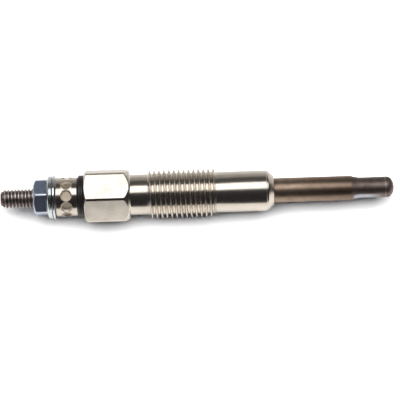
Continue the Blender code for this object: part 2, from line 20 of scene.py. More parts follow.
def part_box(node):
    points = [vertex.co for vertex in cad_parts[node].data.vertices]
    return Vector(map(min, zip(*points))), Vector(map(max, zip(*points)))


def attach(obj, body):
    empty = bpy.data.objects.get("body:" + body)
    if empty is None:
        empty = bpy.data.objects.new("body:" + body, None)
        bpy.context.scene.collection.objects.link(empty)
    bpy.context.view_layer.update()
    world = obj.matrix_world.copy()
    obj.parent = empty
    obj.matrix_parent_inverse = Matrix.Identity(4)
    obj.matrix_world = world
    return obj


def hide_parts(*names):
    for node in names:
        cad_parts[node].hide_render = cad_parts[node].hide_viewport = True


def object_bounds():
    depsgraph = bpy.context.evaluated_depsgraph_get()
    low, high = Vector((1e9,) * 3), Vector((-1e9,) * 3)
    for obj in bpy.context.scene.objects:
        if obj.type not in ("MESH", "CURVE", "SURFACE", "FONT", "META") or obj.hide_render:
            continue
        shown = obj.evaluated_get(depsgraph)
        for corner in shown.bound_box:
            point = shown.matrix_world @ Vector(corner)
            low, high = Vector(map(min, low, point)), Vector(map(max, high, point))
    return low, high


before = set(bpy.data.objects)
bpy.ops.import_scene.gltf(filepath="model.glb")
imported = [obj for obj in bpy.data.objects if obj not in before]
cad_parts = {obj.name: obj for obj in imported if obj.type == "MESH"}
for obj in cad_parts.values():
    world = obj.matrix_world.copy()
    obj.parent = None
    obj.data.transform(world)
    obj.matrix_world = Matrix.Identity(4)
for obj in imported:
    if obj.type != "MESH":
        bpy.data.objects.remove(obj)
cad_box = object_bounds()
print("CAD nodes:", ", ".join(sorted(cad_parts)))

# %% [markdown]
# Stations
#
# Nearly every piece is round about one axis, so two numbers place any point:
# its station, the distance along the axis from the stud's end, and its radius.
# The frame's boxes give the stations where pieces start and end. Reading them
# there, and not writing them again, keeps the looks on the CAD model.

# %% Read the axis and the stations from the frame
MM = 0.001
AXIS_START = cad_box[0].x
AXIS_HEIGHT = (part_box("shell")[0].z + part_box("shell")[1].z) / 2


def stations_of(node):
    """Return the stations where a node starts and ends, in millimetres."""
    return [(corner.x - AXIS_START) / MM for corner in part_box(node)]


NUT_START, NUT_END = stations_of("terminal_nut")
WASHER_START, WASHER_END = stations_of("terminal_washer")
RING_START, RING_END = stations_of("crimp_ring")
BUSH_START, BUSH_END = stations_of("insulating_bush")
SHELL_START, SHELL_END = stations_of("shell")
SHEATH_START, TIP_END = stations_of("sheath_tube")
ROD_END = stations_of("centre_rod")[1]
print(f"shell from {SHELL_START:.2f} to {SHELL_END:.2f} mm, tip at {TIP_END:.2f} mm")

# %% [markdown]
# One builder for everything round
#
# A lathe turns an outline into a body. The same idea makes a hexagon: let the
# radius change with the angle as well as with the station. So one helper takes
# a list of rings, each a station and a radius or an array of radii, and skins
# them. Spinning an outline with a modifier would do for the round pieces, but
# not for the flats, and one helper is easier to trust than two.

# %% Rings and the meshes skinned over them
def even_angles(sides):
    """Return angles spread evenly round the axis, from +Z towards -Y."""
    return np.arange(sides) * math.tau / sides


def skin(name, rings, angles, closed_loop=True):
    """Skin rings of (station, radius) into a mesh piece, all in millimetres."""
    sides = len(angles)
    stations = np.array([np.broadcast_to(ring[0], sides) for ring in rings], float)
    radii = np.array([np.broadcast_to(ring[1], sides) for ring in rings], float)
    points = np.empty((len(rings), sides, 3))
    points[..., 0] = AXIS_START + stations * MM
    points[..., 1] = -radii * np.sin(angles) * MM
    points[..., 2] = AXIS_HEIGHT + radii * np.cos(angles) * MM
    count = len(rings) if closed_loop else len(rings) - 1
    ring = np.arange(count)[:, None] * sides
    beyond = (np.arange(count)[:, None] + 1) % len(rings) * sides
    side = np.arange(sides)[None, :]
    beside = (side + 1) % sides
    faces = np.stack([ring + side, beyond + side, beyond + beside, ring + beside], axis=-1)
    mesh = bpy.data.meshes.new(name)
    mesh.from_pydata(points.reshape(-1, 3).tolist(), [], faces.reshape(-1, 4).tolist())
    return tidy_piece(name, mesh)


def tidy_piece(name, mesh):
    """Merge points that meet on the axis, turn the faces outward and shade smooth."""
    bm = bmesh.new()
    bm.from_mesh(mesh)
    bmesh.ops.remove_doubles(bm, verts=bm.verts, dist=0.0001 * MM)
    bmesh.ops.recalc_face_normals(bm, faces=bm.faces)
    bm.to_mesh(mesh)
    bm.free()
    mesh.shade_smooth()
    return put(name, mesh)


def put(name, data):
    """Put a mesh, a lamp or a camera in the scene as an object at the origin."""
    made = bpy.data.objects.new(name, data)
    bpy.context.scene.collection.objects.link(made)
    return made


def settle(piece, node, finish):
    """Let a piece stand for a CAD node, in one finish, on the only body."""
    piece.data.materials.clear()
    piece.data.materials.append(finish)
    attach(piece, "root")
    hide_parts(node)
    print(f"{piece.name}: {len(piece.data.polygons)} faces for {node}")


print("four sides lie at", [round(turn) for turn in np.degrees(even_angles(4))], "degrees")

# %% [markdown]
# Outlines with soft corners
#
# No edge on a turned part is perfectly sharp, and on bright metal it is the
# small round at an edge that catches the light. So an outline here is a few
# corner points, each with the radius of its round, and a helper replaces each
# corner with an arc. A Bevel modifier could do this too, but an outline shows
# every radius by name.

# %% Round the corners of an outline
def rounded(corners, steps=5):
    """Return (station, radius) points of an outline whose corners (s, r, round) become arcs."""
    points = []
    for index, corner in enumerate(corners):
        here = Vector(corner[:2])
        size = corner[2] if len(corner) > 2 else 0.0
        if size == 0.0 or index in (0, len(corners) - 1):
            points.append(tuple(here))
            continue
        back = (Vector(corners[index - 1][:2]) - here).normalized()
        ahead = (Vector(corners[index + 1][:2]) - here).normalized()
        half = back.angle(ahead) / 2
        reach = size / math.tan(half)
        centre = here + (back + ahead).normalized() * (size / math.sin(half))
        start = here + back * reach - centre
        turn = (here + ahead * reach - centre).angle_signed(start)
        for step in range(steps + 1):
            share = turn * step / steps
            cosine, sine = math.cos(share), math.sin(share)
            arm = Vector((start.x * cosine - start.y * sine, start.x * sine + start.y * cosine))
            points.append(tuple(centre + arm))
    return points


print("one rounded corner becomes", len(rounded([(0, 0), (0, 1, 0.1), (1, 1)])) - 2, "points")

# %% [markdown]
# Node sums
#
# The finishes and the shape rules below are written as sums, such as
# 1 - wear * 0.5. A small class wraps a socket, and each operator on it adds
# the Math node that does the sum. So a rule reads as a line of arithmetic and
# not as a list of links, and the same class serves shaders and shapes.

# %% A number that writes its own Math nodes
def math_method(operation, swapped=False):
    """Return a method that joins two numbers by a Math node."""
    def method(self, other):
        first, second = (other, self) if swapped else (self, other)
        return self.nodes.math(operation, first, second)
    return method


class Sum:
    """A number socket in a node tree, with operators that add Math nodes."""

    def __init__(self, nodes, socket):
        self.nodes = nodes
        self.socket = socket

    __add__ = __radd__ = math_method("ADD")
    __mul__ = __rmul__ = math_method("MULTIPLY")
    __sub__ = math_method("SUBTRACT")
    __rsub__ = math_method("SUBTRACT", swapped=True)
    __truediv__ = math_method("DIVIDE")
    __rtruediv__ = math_method("DIVIDE", swapped=True)
    least = math_method("MINIMUM")
    most = math_method("MAXIMUM")

    def __abs__(self):
        return self.nodes.math("ABSOLUTE", self)

    def between(self, low, high):
        """Rise smoothly from 0 at low to 1 at high."""
        settings = {"interpolation_type": "SMOOTHSTEP"}
        values = {"Value": self, "From Min": low, "From Max": high}
        return self.nodes.node("ShaderNodeMapRange", settings, values)["Result"]

    def within(self, rise, full, fade, end):
        """Rise from 0 to 1 between the first two values, and fall back between the others."""
        return self.between(rise, full) * (1 - self.between(fade, end))


# %% [markdown]
# Every node from one method
#
# A node needs three things: its type, its settings, and the values or links of
# its sockets. One method takes all three and gives back the outputs by name,
# with the numbers already wrapped. Colours are mixed by a Mix node, because a
# Math node would turn them grey.

# %% A tree whose nodes all come from one method
class NodeMaker:
    """A node tree of any kind, with one method that adds its nodes."""

    def __init__(self, tree):
        self.tree = tree

    def feed(self, socket, value):
        """Give an input socket a number, a colour, a material or a link."""
        source = value.socket if isinstance(value, Sum) else value
        if isinstance(source, bpy.types.NodeSocket):
            self.tree.links.new(source, socket)
        else:
            socket.default_value = source

    def node(self, kind, settings=None, values=None):
        """Add any node, and return its outputs by name."""
        made = self.tree.nodes.new(kind)
        for key, value in (settings or {}).items():
            setattr(made, key, value)
        for key, value in (values or {}).items():
            self.feed(made.inputs[key], value)
        outputs = [output for output in made.outputs if output.enabled]
        return {out.name: Sum(self, out) if out.type == "VALUE" else out for out in outputs}

    def math(self, operation, *values):
        """Add a Math node on one or more numbers."""
        numbered = dict(enumerate(values))
        return self.node("ShaderNodeMath", {"operation": operation}, numbered)["Value"]

    def length(self, first, second):
        """Return the length of the long side of a right triangle."""
        return self.math("SQRT", first * first + second * second)

    def blend(self, factor, first, second):
        """Mix two colours."""
        colour_a, colour_b = 6, 7
        values = {"Factor": factor, colour_a: first, colour_b: second}
        return self.node("ShaderNodeMix", {"data_type": "RGBA"}, values)["Result"]

    def vector(self, x, y, z):
        """Join three numbers into a vector or a colour."""
        return self.node("ShaderNodeCombineXYZ", None, {"X": x, "Y": y, "Z": z})["Vector"]


trial = NodeMaker(bpy.data.node_groups.new("trial", "ShaderNodeTree"))
last = (1 - trial.node("ShaderNodeTexNoise")["Fac"] * 0.5).socket.node
print("1 - cloud * 0.5 made", len(trial.tree.nodes), "nodes, the last of them", last.name)
bpy.data.node_groups.remove(trial.tree)

# %% [markdown]
# Finishes
#
# Each finish is built round one Principled BSDF. What is the same all over
# sits on the shader's own sockets, and only what changes over the surface is
# linked. Patterns read Object coordinates, so they stay on the metal when the
# plug is turned. As the plug is round, a point is best described by its
# station and its radius, and by how far it lies to the front and up.

# %% A finish and its colours
class Finish(NodeMaker):
    """A material under construction, built round one Principled BSDF."""

    def __init__(self, name, **constants):
        self.material = bpy.data.materials.new(name)
        self.material.use_nodes = True
        super().__init__(self.material.node_tree)
        self.shader = self.tree.nodes["Principled BSDF"]
        for socket, value in constants.items():
            self.shader.inputs[socket.replace("_", " ")].default_value = value

    def place(self):
        """Return the Object coordinates of the surface, as a vector socket."""
        return self.node("ShaderNodeTexCoord")["Object"]

    def axes(self):
        """Return the surface point's x, y and z in metres, as numbers."""
        parts = self.node("ShaderNodeSeparateXYZ", None, {"Vector": self.place()})
        return parts["X"], parts["Y"], parts["Z"]

    def round_place(self):
        """Return the station, the radius, and the places to the front and up, in millimetres."""
        x, y, z = self.axes()
        front, up = 0 - y / MM, (z - AXIS_HEIGHT) / MM
        return (x - AXIS_START) / MM, self.length(front, up), front, up

    def noise(self, scale, stretch=(1.0, 1.0, 1.0), detail=4.0, roughness=0.5):
        """Return a cloud from 0 to 1, stretched along the axes."""
        mapped = self.node("ShaderNodeMapping", None, {"Vector": self.place(), "Scale": stretch})
        values = {"Vector": mapped["Vector"], "Scale": scale, "Detail": detail, "Roughness": roughness}
        return self.node("ShaderNodeTexNoise", None, values)["Fac"]

    def bump(self, height, distance):
        """Turn a height into a normal, with the distance in metres."""
        return self.node("ShaderNodeBump", None, {"Height": height, "Distance": distance})["Normal"]

    def done(self, **links):
        """Link what changes over the surface and return the material."""
        for socket, value in links.items():
            self.feed(self.shader.inputs[socket.replace("_", " ")], value)
        print(f"finish {self.material.name}: {len(self.tree.nodes)} nodes")
        return self.material


def tint(red, green, blue):
    """Return a colour written in display values from 0 to 255."""
    shares = [value / 255 for value in (red, green, blue)]
    light = [s / 12.92 if s <= 0.04045 else ((s + 0.055) / 1.055) ** 2.4 for s in shares]
    return (*light, 1.0)


WHITE, BLACK = tint(255, 255, 255), tint(0, 0, 0)
print(f"a display grey of 128 is {tint(128, 128, 128)[0]:.3f} in light")

# %% [markdown]
# Bright nickel
#
# The shell is turned steel with a thin coat of nickel: a warm grey mirror. It
# is the light that draws it, so the finish stays quiet. Fine turning marks run
# round the axis, which a cloud squeezed along x imitates, and a slow second
# cloud makes the plating a little duller in patches. The crests of the thread
# are scuffed, so they catch light from further round than the plain barrel.

# %% Nickel plate over turned steel
finish = Finish("shell_nickel", Metallic=1.0)
station, radius = finish.round_place()[:2]
marks = finish.noise(9000.0, stretch=(1.0, 0.04, 0.04), detail=2.0)
patches = finish.noise(420.0)
clean = tint(224, 216, 205)
dull = tuple(0.86 * value for value in clean[:3]) + (1.0,)
shade = finish.blend(patches.between(0.35, 0.75), clean, dull)
beyond_hexagon = station.between(28.5, 29.5)
crest = radius.between(4.70, 4.86) * beyond_hexagon
rough = 0.20 + (patches - 0.5) * 0.10 + (marks - 0.5) * 0.06 + crest * 0.08
relief = finish.bump(marks, 0.0015 * MM)
SHELL_NICKEL = finish.done(Base_Color=shade, Roughness=rough, Normal=relief)

# %% [markdown]
# Punched nickel
#
# The crimp ring has the same plate, but its dimples were punched after it.
# The punch leaves a yellowish, grainy floor and walls that are a little rough.
# The walls are painted lighter, a painted highlight that gives the dimples
# their bright rims. The radius tells the shader which is which, so the
# pattern always fits the dimples.

# %% Plate with dull floors and a painted highlight on the walls
finish = Finish("ring_nickel", Metallic=1.0)
radius = finish.round_place()[1]
grain = finish.noise(2600.0)
patches = finish.noise(420.0)
sunk = 1 - radius.between(3.50, 3.80)
wall = radius.within(3.42, 3.55, 3.88, 3.94)
shade = finish.blend(patches.between(0.35, 0.75), tint(216, 207, 195), tint(200, 190, 177))
shade = finish.blend(sunk, shade, tint(226, 210, 188))
# Painted highlight: the dimple walls are lighter, so their rims look bright.
shade = finish.blend(wall, shade, tint(246, 240, 230))
rough = 0.20 + (patches - 0.5) * 0.10 + sunk * 0.20 + wall * 0.30
relief = finish.bump(grain * sunk, 0.012 * MM)
RING_NICKEL = finish.done(Base_Color=shade, Roughness=rough, Normal=relief)

# %% [markdown]
# Bright zinc
#
# The nut and its washer are zinc plated, which is bluer than nickel. The nut's
# flats are faintly cloudy, and its corners and its end are a paler grey, worn
# and partly a painted highlight that whitens the light on the corners.
# Towards the flange, and on the washer, the plate is clear and smooth.
# One finish does for both pieces, as the station says where it clears.

# %% Blue-bright zinc plate
finish = Finish("bright_zinc", Metallic=1.0)
station, radius = finish.round_place()[:2]
cloud = finish.noise(900.0, detail=5.0, roughness=0.6)
clear = station.between(9.1, 9.5)
nut_end = 1 - station.between(NUT_START + 0.15, NUT_START + 0.45)
# Paler corners and end: wear, and partly a painted highlight on the corners.
worn_and_highlight = radius.between(3.78, 3.84).most(nut_end)
blue = finish.blend(cloud.between(0.3, 0.8), tint(196, 211, 238), tint(162, 179, 211))
blue = finish.blend(worn_and_highlight * 0.8, blue, tint(214, 218, 226))
pale = finish.blend(cloud, tint(232, 238, 240), tint(206, 214, 217))
shade = finish.blend(clear, blue, pale)
rough = 0.35 + (cloud - 0.5) * 0.12 - clear * 0.16
relief = finish.bump(cloud, 0.004 * MM)
BRIGHT_ZINC = finish.done(Base_Color=shade, Roughness=rough, Normal=relief)

# %% [markdown]
# Stud steel
#
# The stud is bare steel, browned by handling, and a nut has rubbed its thread
# crests bright. The distance from the axis says where a crest is. The side
# that lies to the front is darker, crests and all, as painted shade.

# %% Bare browned steel with bright crests
finish = Finish("stud_steel", Metallic=1.0)
_, radius, front, _ = finish.round_place()
grime = finish.noise(1500.0)
# Painted shade: the front side is darker, and its crests are dimmer.
unshaded_side = 1 - front.between(0.5, 1.5)
crest = radius.between(1.80, 1.97) * (0.45 + unshaded_side * 0.55)
brown = finish.blend(grime.between(0.3, 0.75), tint(158, 145, 141), tint(118, 106, 104))
brown = finish.blend(unshaded_side, tint(120, 106, 106), brown)
shade = finish.blend(crest, brown, tint(240, 232, 226))
rough = 0.42 + (grime - 0.5) * 0.2 - crest * 0.06
relief = finish.bump(grime, 0.004 * MM)
STUD_STEEL = finish.done(Base_Color=shade, Roughness=rough, Normal=relief)

# %% [markdown]
# Heater alloy
#
# The heater tube is a ground heat-resisting alloy. Its first test firing left
# a brown heat tint that deepens towards the tip and turns greyer past the
# waist. There a cool, bright stripe along the front is a painted reflection
# of the page, and a thin pale line shows where the tip's cap was welded on.
# Masks of the station place them, as the tube's own shape is given by
# station too.

# %% Ground alloy with heat tint
finish = Finish("heater_alloy", Metallic=1.0)
station, _, front, up = finish.round_place()
grain = finish.noise(7000.0, stretch=(1.0, 0.03, 0.03), detail=2.0)
cloud = finish.noise(700.0)
patches = cloud.between(0.3, 0.8)
tan = finish.blend(patches, tint(170, 149, 132), tint(146, 126, 111))
deeper = station.between(56.0, 72.0)
tan = finish.blend(deeper * 0.75, tan, tint(120, 102, 88))
burnt = station.between(70.8, 72.2)
grey = finish.blend(patches, tint(130, 117, 111), tint(106, 94, 88))
shade = finish.blend(burnt, tan, grey)
# Painted reflection of the page: a cool, bright stripe along the front of the waist and tip.
stripe = front.between(1.55, 1.95) * up.within(-1.3, -0.7, 0.7, 1.2)
painted_reflection_stripe = station.within(71.6, 72.2, 74.5, 78.5) * stripe
shade = finish.blend(painted_reflection_stripe * 0.62, shade, tint(206, 212, 224))
weld = station.within(78.15, 78.30, 78.40, 78.60)
shade = finish.blend(weld * 0.6, shade, tint(176, 168, 162))
rough = 0.39 + (grain - 0.5) * 0.10 + (cloud - 0.5) * 0.08 + burnt * 0.08 - painted_reflection_stripe * 0.14
relief = finish.bump(grain, 0.0015 * MM)
HEATER_ALLOY = finish.done(Base_Color=shade, Roughness=rough, Normal=relief)

# %% [markdown]
# Black moulding
#
# The insulator is moulded in a black plastic that stands heat. It is satin and
# not quite black, and a fine cloud in colour, gloss and height gives it the
# faint orange peel of a moulded face.

# %% Satin black moulding
finish = Finish("black_moulding", Metallic=0.0)
cloud = finish.noise(2500.0)
shade = finish.blend(cloud, tint(34, 31, 33), tint(50, 46, 48))
relief = finish.bump(cloud, 0.006 * MM)
BLACK_MOULDING = finish.done(Base_Color=shade, Roughness=0.36 + (cloud - 0.5) * 0.2, Normal=relief)

# %% [markdown]
# The pieces inside
#
# Two coils, the pressed powder round them, a seal and an O-ring lie inside the
# plug, where nobody sees them until it is cut open. Their CAD solids stay as
# they are and only get a finish: a pale and a dark colour in a cloud, with a
# gloss that varies a little.

# %% Finishes of the pieces inside
def clouded(name, light, dark, roughness, metallic):
    """Return a finish of two colours in a cloud."""
    finish = Finish(name, Metallic=metallic)
    cloud = finish.noise(1800.0)
    shade = finish.blend(cloud, light, dark)
    return finish.done(Base_Color=shade, Roughness=roughness + (cloud - 0.5) * 0.15)


INSIDE_FINISHES = {
    "magnesia_fill": clouded("pressed_magnesia", tint(226, 223, 214), tint(206, 202, 190), 0.85, 0.0),
    "control_coil": clouded("control_wire", tint(178, 176, 174), tint(150, 148, 146), 0.35, 1.0),
    "heating_coil": clouded("heating_wire", tint(166, 152, 140), tint(138, 124, 112), 0.4, 1.0),
    "sheath_seal": clouded("seal_silicone", tint(148, 60, 46), tint(128, 50, 38), 0.6, 0.0),
    "shell_o_ring": clouded("o_ring_rubber", tint(34, 34, 35), tint(26, 26, 27), 0.65, 0.0),
}
for node, finish in INSIDE_FINISHES.items():
    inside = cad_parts[node]
    inside.data.materials.clear()
    inside.data.materials.append(finish)
print("finished inside:", ", ".join(INSIDE_FINISHES))

# %% [markdown]
# A shape rule in Geometry Nodes
#
# What repeats round or along a piece, such as a thread or a row of dimples, is
# a rule that moves points. Geometry Nodes keep such a rule apart from the
# numbers it works with: the tree has named inputs, and the numbers go in
# through a modifier. The result is then kept as a plain mesh, because that is
# what an export can hand on.

# %% A shape tree, and how to run it
class ShapeTree(NodeMaker):
    """A Geometry Nodes tree whose sizes are named inputs, the axis height first."""

    def __init__(self, name, sizes):
        group = bpy.data.node_groups.new(name, "GeometryNodeTree")
        for way in ("INPUT", "OUTPUT"):
            group.interface.new_socket("Geometry", in_out=way, socket_type="NodeSocketGeometry")
        for size in ("Axis Height", *sizes):
            group.interface.new_socket(size, in_out="INPUT", socket_type="NodeSocketFloat")
        super().__init__(group)
        self.given = self.node("NodeGroupInput")

    def round_place(self):
        """Return each point's x, its places to the front and up, its radius and its angle."""
        position = self.node("GeometryNodeInputPosition")["Position"]
        parts = self.node("ShaderNodeSeparateXYZ", None, {"Vector": position})
        front, up = 0 - parts["Y"], parts["Z"] - self.given["Axis Height"]
        return parts["X"], front, up, self.length(front, up), self.math("ARCTAN2", front, up)

    def close(self, chosen, key, vector, finish):
        """Move the chosen points, and end the tree with real geometry in one finish."""
        values = {"Geometry": self.given["Geometry"], "Selection": chosen, key: vector}
        moved = self.node("GeometryNodeSetPosition", None, values)["Geometry"]
        real = self.node("GeometryNodeRealizeInstances", None, {"Geometry": moved})["Geometry"]
        values = {"Geometry": real, "Material": finish}
        painted = self.node("GeometryNodeSetMaterial", None, values)["Geometry"]
        self.node("NodeGroupOutput", None, {"Geometry": painted})
        print(f"shape rule {self.tree.name}: {len(self.tree.nodes)} nodes")


def run_shape(piece, shape, sizes):
    """Run a shape tree on a piece with its sizes, and keep the result as its plain mesh."""
    modifier = piece.modifiers.new(shape.tree.name, "NODES")
    modifier.node_group = shape.tree
    inputs = [item for item in shape.tree.interface.items_tree if item.in_out == "INPUT"]
    sockets = {item.name: item.identifier for item in inputs}
    for name, value in {"Axis Height": AXIS_HEIGHT, **sizes}.items():
        modifier[sockets[name]] = float(value)
    bpy.context.view_layer.update()
    evaluated = piece.evaluated_get(bpy.context.evaluated_depsgraph_get())
    made = bpy.data.meshes.new_from_object(evaluated)
    old = piece.data
    piece.modifiers.remove(modifier)
    piece.data = made
    bpy.data.meshes.remove(old)
    made.name = piece.name
    made.shade_smooth()
    print(f"{shape.tree.name} has shaped {len(made.vertices)} points of {piece.name}")


# %% [markdown]
# Rolling a thread
#
# A thread is a ridge that follows a helix. Sweeping a vee along a curve makes
# one, but its ends need trimming and its seams closing. Here the plain rod is
# skinned first, with many rings where the thread goes, and a rule pushes each
# point in or out. The station, less the share of a pitch that the angle stands
# for, says where a point is between one crest and the next. Ramps at both ends
# let the thread run out as a rolled one does. The same tree serves the stud
# and the shell.

# %% The rule of a thread
THREAD_SIZES = [
    "Start", "End", "Pitch", "Crest Radius", "Root Radius", "Crest Flat", "Root Flat",
    "Crest Station", "Start Radius", "End Radius", "Run In", "Run Out",
]


def thread_tree(name, finish):
    """Build the tree that rolls a right-hand thread into a round piece."""
    tree = ShapeTree(name, THREAD_SIZES)
    given = tree.given
    x, front, up, radius, angle = tree.round_place()
    crest, root = given["Crest Radius"], given["Root Radius"]
    turns = (x - given["Crest Station"]) / given["Pitch"]
    phase = tree.math("FRACT", turns - angle / math.tau)
    from_crest = 0.5 - abs(phase - 0.5)
    flank = from_crest.between(given["Crest Flat"] * 0.5, 0.5 - given["Root Flat"] * 0.5)
    ridge = crest + (root - crest) * flank
    lead = (x - given["Start"]) / given["Run In"] * (crest - given["Start Radius"]) + given["Start Radius"]
    tail = (given["End"] - x) / given["Run Out"] * (crest - given["End Radius"]) + given["End Radius"]
    growth = ridge.least(lead.least(tail)) / radius
    inside = tree.math("GREATER_THAN", x, given["Start"]) * tree.math("LESS_THAN", x, given["End"])
    rolled = tree.vector(x, 0 - front * growth, given["Axis Height"] + up * growth)
    tree.close(inside, "Position", rolled, finish)
    return tree


def thread_rings(start, end, radius, pitch, per_pitch):
    """Return close rings over the stretch that gets a thread."""
    count = round((end - start) / pitch * per_pitch)
    return [(start + (end - start) * index / count, radius) for index in range(count + 1)]


print("a thread is given by", len(THREAD_SIZES), "sizes")

# %% [markdown]
# Centre rod and terminal stud
#
# The rod runs from the stud's end to the coil pin deep in the heater tube. Only
# the first stretch shows, so only that gets close rings. Its end has a cone, as
# a rolled stud has, so that a nut finds its way on.

# %% Roll the stud
STUD_RADIUS, STUD_ROOT = 1.975, 1.57
STUD_PITCH, STUD_CREST = 0.70, 0.29
STUD_END_RADIUS, STUD_CONE = 1.30, 1.00
ROD_RADIUS, NOSE_RADIUS, PIN_RADIUS = 1.75, 1.20, 0.65
NOSE_TAPER, NOSE_OUTSIDE, PIN_LENGTH = 0.55, 1.5, 2.5
NOSE_START = SHEATH_START - NOSE_OUTSIDE
PIN_START = ROD_END - PIN_LENGTH

stud_rings = [(0.0, 0.0), (0.0, STUD_END_RADIUS * 0.5), (0.0, STUD_END_RADIUS - 0.05)]
stud_rings += thread_rings(0.02, WASHER_END, ROD_RADIUS * 0.99, STUD_PITCH, per_pitch=22)
stud_rings += [
    (NOSE_START - NOSE_TAPER, ROD_RADIUS),
    (NOSE_START, NOSE_RADIUS),
    (PIN_START, NOSE_RADIUS),
    (PIN_START, PIN_RADIUS),
    (ROD_END, PIN_RADIUS),
    (ROD_END, 0.0),
]
rod = skin("centre_rod_piece", stud_rings, even_angles(72), closed_loop=False)
run_shape(rod, thread_tree("stud_thread", STUD_STEEL), {
    "Start": AXIS_START + 0.01 * MM,
    "End": AXIS_START + WASHER_END * MM,
    "Pitch": STUD_PITCH * MM,
    "Crest Radius": STUD_RADIUS * MM,
    "Root Radius": STUD_ROOT * MM,
    "Crest Flat": 0.14,
    "Root Flat": 0.16,
    "Crest Station": AXIS_START + STUD_CREST * MM,
    "Start Radius": STUD_END_RADIUS * MM,
    "End Radius": ROD_RADIUS * MM,
    "Run In": STUD_CONE * MM,
    "Run Out": STUD_PITCH * MM,
})
settle(rod, "centre_rod", STUD_STEEL)

# %% [markdown]
# A hexagon as a radius
#
# Seen along the axis, a hexagon's edge is a straight line, and its distance
# from the centre grows as one over the cosine of the angle from the flat's
# middle. Where two flats meet, a small arc gives the rounded corner of drawn
# bar. A soft minimum of the hexagon and a cone cuts the chamfers. So a hexagon
# is skinned like a turned piece, with closer points at its corners.

# %% Soft minimum, flats and corner angles
def soft_least(first, second, blend):
    """Return the smaller of two arrays, with a round of about the blend where they cross."""
    apart = np.clip(0.5 + 0.5 * (second - first) / blend, 0.0, 1.0)
    return second * (1 - apart) + first * apart - blend * apart * (1 - apart)


def soft_most(first, second, blend):
    """Return the larger of two arrays, with a round of about the blend where they cross."""
    return -soft_least(-first, -second, blend)


def hexagon_angles(turn, steps):
    """Return angles round the axis, closer together near the six corners."""
    share = np.arange(steps) / steps
    half = np.concatenate([1.0 - (1.0 - share) ** 2, 1.0 + share**2])
    sector = turn + (half - 1.0) * math.pi / 6
    six_sectors = np.concatenate([sector + k * math.pi / 3 for k in range(6)])
    return np.sort(np.unique(np.round(six_sectors, 9)))


def hexagon_radius(angles, turn, half_flats, corner_round):
    """Return the hexagon's radius at each angle, with a rounded corner at the turn angle."""
    from_flat = np.abs((angles - turn) % (math.pi / 3) - math.pi / 6)
    from_corner = math.pi / 6 - from_flat
    centre = (half_flats - corner_round) / math.cos(math.pi / 6)
    reach = corner_round**2 - (centre * np.sin(from_corner)) ** 2
    arc = centre * np.cos(from_corner) + np.sqrt(np.maximum(reach, 0.0))
    flat = half_flats / np.cos(from_flat)
    arc_end = math.atan2(centre / 2, half_flats)
    return np.where(from_flat < arc_end, flat, arc)


corner = hexagon_radius(np.zeros(1), 0.0, 5.0, 0.6)[0]
print(f"10 mm across flats is {2 * corner:.2f} mm across rounded corners")

# %% [markdown]
# Terminal nut
#
# A flanged nut, cold formed and zinc plated, so its edges are round. Its flats
# swell in a curve into the flange, whose rim is half a circle. The radius at
# each station is the larger of the trimmed hexagon and the flange, with a soft
# step between them, and the bore closes the loop inside.

# %% Form the nut
NUT_HALF_FLATS, NUT_TURN = 3.45, math.radians(14.9)
NUT_HEX_LENGTH, NUT_CONE_LENGTH = 2.58, 0.72
NUT_FLANGE_RADIUS, NUT_RIM_STEP = 4.425, 0.06
NUT_BORE_RADIUS, NUT_BORE_CHAMFER = 2.035, 0.25
NUT_FACE_RADIUS, NUT_CHAMFER_SLOPE, NUT_FACE_EDGE = 3.22, 1.25, 0.08
NUT_CORNER_RADIUS, NUT_CORNER_ROUND, NUT_CORNER_TRIM = 3.86, 0.09, 0.2
NUT_CHAMFER_ROUND, NUT_RIM_ROUND = 0.16, 0.02
NUT_CONE_FOOT = NUT_HALF_FLATS * 0.985
NUT_LENGTH = NUT_END - NUT_START
NUT_RIM_START = NUT_HEX_LENGTH + NUT_CONE_LENGTH
NUT_RIM_HALF = (NUT_LENGTH - NUT_RIM_START) / 2


def flange_at(depth):
    """Return the flange's radius at a depth from the nut's face."""
    if depth > NUT_RIM_START:
        across = min(abs(depth - NUT_RIM_START - NUT_RIM_HALF) / NUT_RIM_HALF, 1.0)
        return NUT_FLANGE_RADIUS - NUT_RIM_HALF * (1.0 - math.sqrt(1.0 - across * across))
    rise = max((depth - NUT_HEX_LENGTH) / NUT_CONE_LENGTH, -2.0)
    swell = rise * 2.0 if rise < 0.0 else 1.0 - (1.0 - rise) ** 2
    return NUT_CONE_FOOT + (NUT_FLANGE_RADIUS - NUT_RIM_STEP - NUT_CONE_FOOT) * swell


def nut_rings(angles):
    """Return the nut's rings, close together at its chamfer and its flange."""
    flats = hexagon_radius(angles, NUT_TURN, NUT_HALF_FLATS, NUT_CORNER_ROUND)
    ones = np.ones_like(flats)
    rings = [
        (NUT_START + NUT_BORE_CHAMFER, NUT_BORE_RADIUS),
        (NUT_START, NUT_BORE_RADIUS + NUT_BORE_CHAMFER),
    ]
    chamfer, middle = np.linspace(0.0, 0.9, 28), np.linspace(0.95, 2.2, 12)
    for depth in np.concatenate([chamfer, middle, np.linspace(2.25, NUT_LENGTH, 44)]):
        cone = ones * (NUT_FACE_RADIUS + NUT_CHAMFER_SLOPE * depth)
        trim = soft_least(cone, ones * NUT_CORNER_RADIUS, NUT_CORNER_TRIM)
        hexagon = soft_least(flats, trim, NUT_CHAMFER_ROUND)
        step = NUT_RIM_STEP if depth < NUT_RIM_START else NUT_RIM_ROUND
        radius = soft_most(hexagon, ones * flange_at(depth), step)
        rings.append((NUT_START + depth, radius - NUT_FACE_EDGE if depth == 0.0 else radius))
    return rings + [(NUT_END, NUT_BORE_RADIUS)]


nut_angles = hexagon_angles(NUT_TURN, 20)
nut = skin("terminal_nut_piece", nut_rings(nut_angles), nut_angles)
settle(nut, "terminal_nut", BRIGHT_ZINC)

# %% [markdown]
# Terminal washer
#
# A thin stamped washer with a softly rounded rim. It is turned from an outline,
# as it has nothing that changes round the axis.

